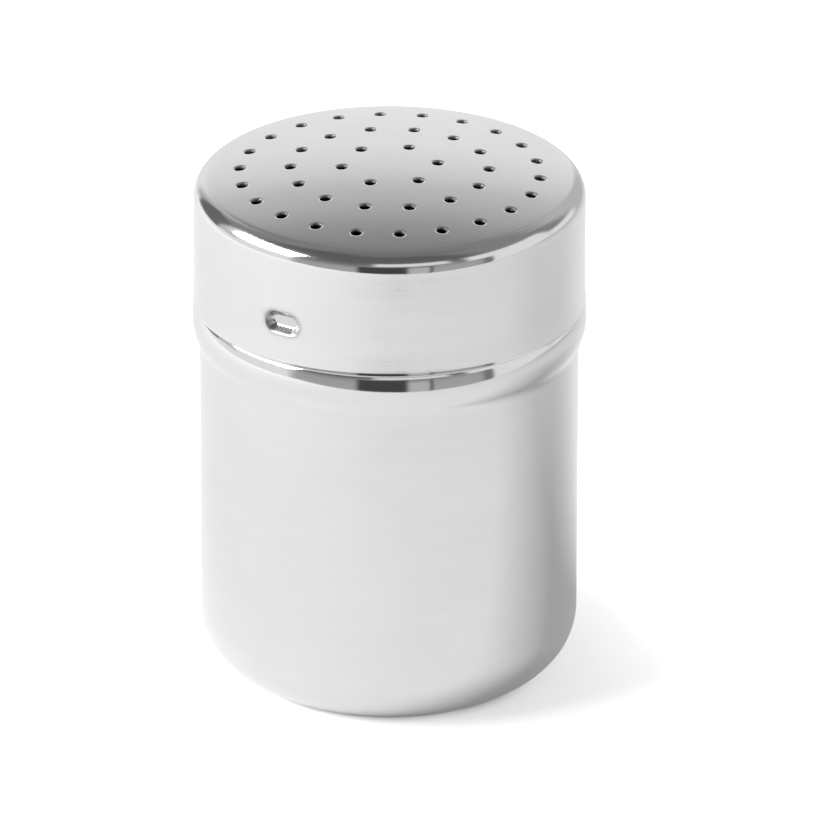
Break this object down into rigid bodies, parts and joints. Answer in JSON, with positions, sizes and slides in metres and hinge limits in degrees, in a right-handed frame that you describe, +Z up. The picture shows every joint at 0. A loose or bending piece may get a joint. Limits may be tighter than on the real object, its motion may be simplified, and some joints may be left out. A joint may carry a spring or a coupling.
{
  "type": "spice shaker",
  "caption": "Stainless-steel spice shaker: a deep-drawn cup with a rolled bead below its neck, and a domed, perforated lid that slips over the neck and lifts off.",
  "frame": {"origin": "middle of the base, on the surface that the shaker stands on", "axes": "+Z up through the middle of the dome; -Y is the front, and one dimple of the lid lies left of it"},
  "size_m": [0.0706, 0.0706, 0.097],
  "materials": {
    "satin_steel": "fine satin stainless steel, bead more polished",
    "polished_steel": "mirror-polished dome and corner, satin skirt"
  },
  "bodies": {
    "cup": {"shaker_cup": "satin_steel"},
    "lid": {"perforated_lid": "polished_steel"}
  },
  "joints": [
    {"name": "lid_lift", "type": "slide", "parent": "cup", "child": "lid", "axis": [0, 0, 1], "range_m": [0, 0.08]}
  ]
}
